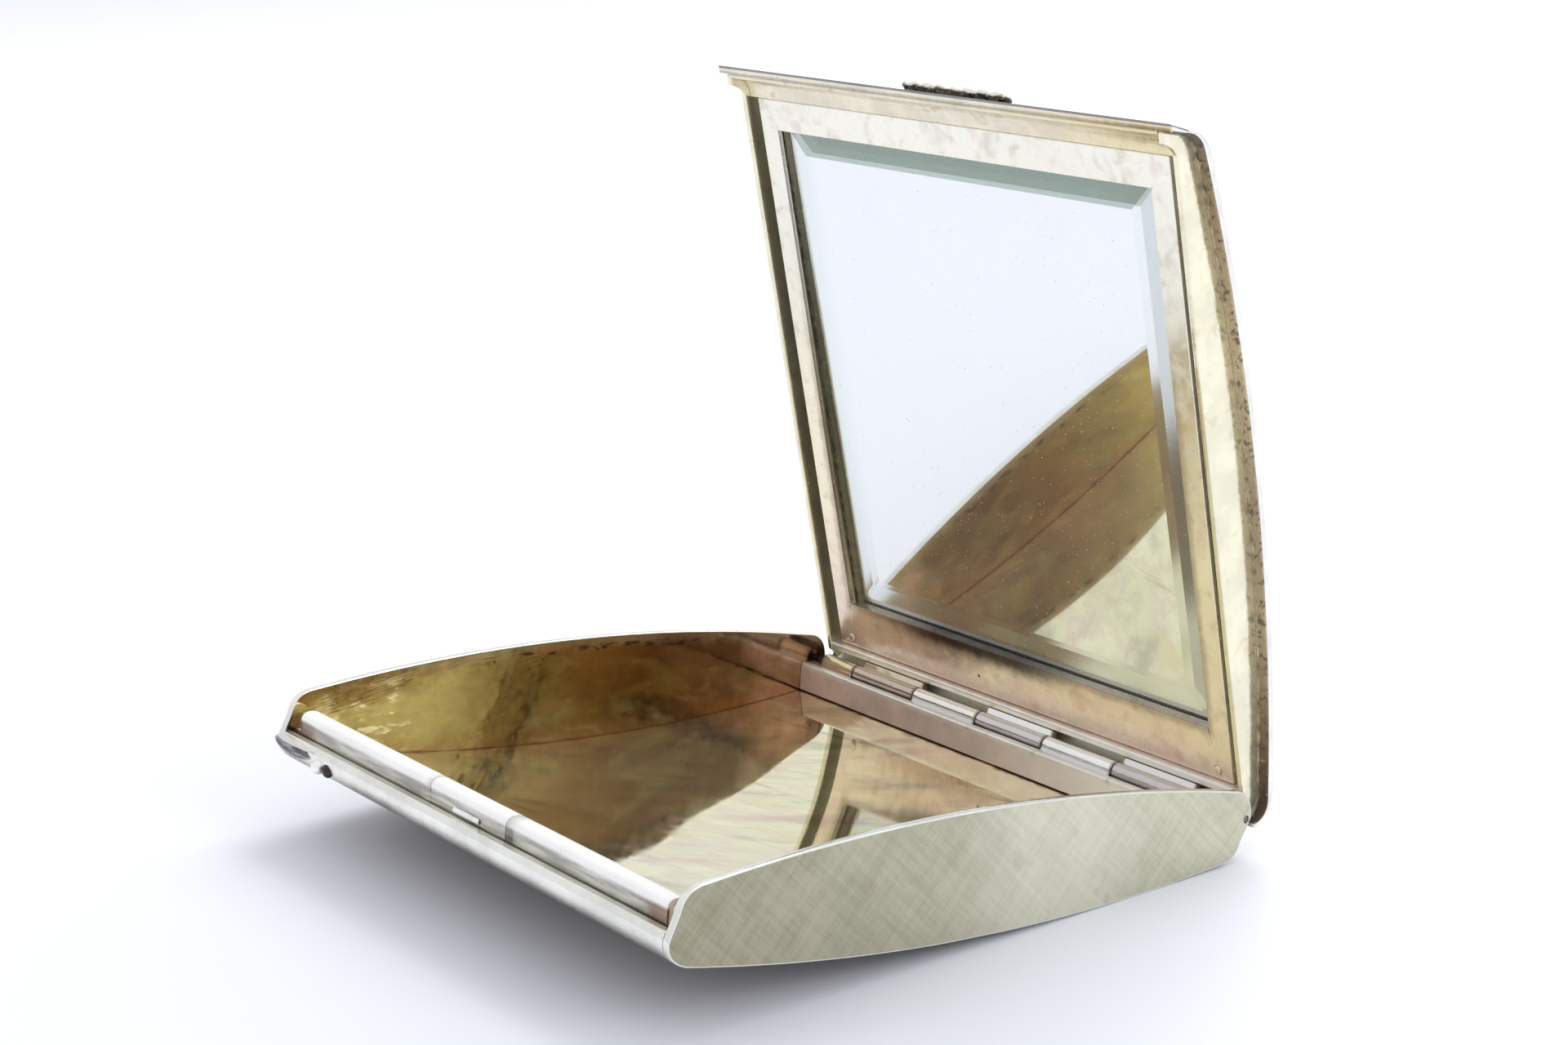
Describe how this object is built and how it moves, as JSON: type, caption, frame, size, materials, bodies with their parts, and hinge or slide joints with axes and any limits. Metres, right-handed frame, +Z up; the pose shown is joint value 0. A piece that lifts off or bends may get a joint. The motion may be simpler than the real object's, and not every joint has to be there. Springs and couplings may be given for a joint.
{
  "type": "powder compact",
  "caption": "Square silver powder compact with bowed top and bottom, flat lens-shaped sides, a hinged lid with a bevelled mirror in a frame, and a sprung catch.",
  "frame": {"origin": "middle of the underside, on the small flat the closed case rests on", "axes": "+X along the hinge, +Y from the catch at the front to the hinge at the back, +Z up out of the tray"},
  "size_m": [0.0739, 0.0809, 0.0816],
  "materials": {
    "silver_satin": "flat silver side walls, hatched with fine crossed scratches",
    "silver_polished": "polished silver, slightly tarnished towards its edges",
    "silver_tarnished": "silver-gilt lining toned brown, pink and gold",
    "silver_knuckle": "worn bright hinge barrels",
    "silver_oxidised": "cast silver, blackened in its hollows",
    "mirror": "bevelled looking-glass",
    "packing": "brown felt pad"
  },
  "bodies": {
    "base": {"base_skin": "silver_tarnished", "base_wall_left": "silver_satin", "base_wall_right": "silver_satin", "base_front_bezel": "silver_polished", "base_rear_bearer": "silver_tarnished", "hinge_pin": "silver_knuckle", "base_ornament": "silver_oxidised", "base_knuckle_1": "silver_knuckle", "base_knuckle_2": "silver_knuckle", "base_knuckle_3": "silver_knuckle", "base_knuckle_4": "silver_knuckle"},
    "catch": {"catch_tongue": "silver_polished", "catch_bead": "silver_polished"},
    "lid": {"lid_skin": "silver_polished", "lid_wall_left": "silver_polished", "lid_wall_right": "silver_polished", "lid_front_band": "silver_polished", "lid_rear_bearer": "silver_tarnished", "lid_knuckle_1": "silver_knuckle", "lid_knuckle_2": "silver_knuckle", "lid_knuckle_3": "silver_knuckle", "mirror_frame": "silver_tarnished", "mirror_glass": "mirror", "mirror_packing": "packing", "frame_pin_left": "silver_tarnished", "frame_pin_right": "silver_tarnished", "thumb_piece": "silver_oxidised"}
  },
  "joints": [
    {"name": "lid_hinge", "type": "hinge", "parent": "base", "child": "lid", "pos_m": [0, 0.0375, 0.00717], "axis": [-1, 0, 0], "range_deg": [-73.8, 16.2]},
    {"name": "catch_flex", "type": "slide", "parent": "base", "child": "catch", "axis": [0, 1, 0], "range_m": [0, 0.0004], "stiffness_N_per_m": 800}
  ]
}
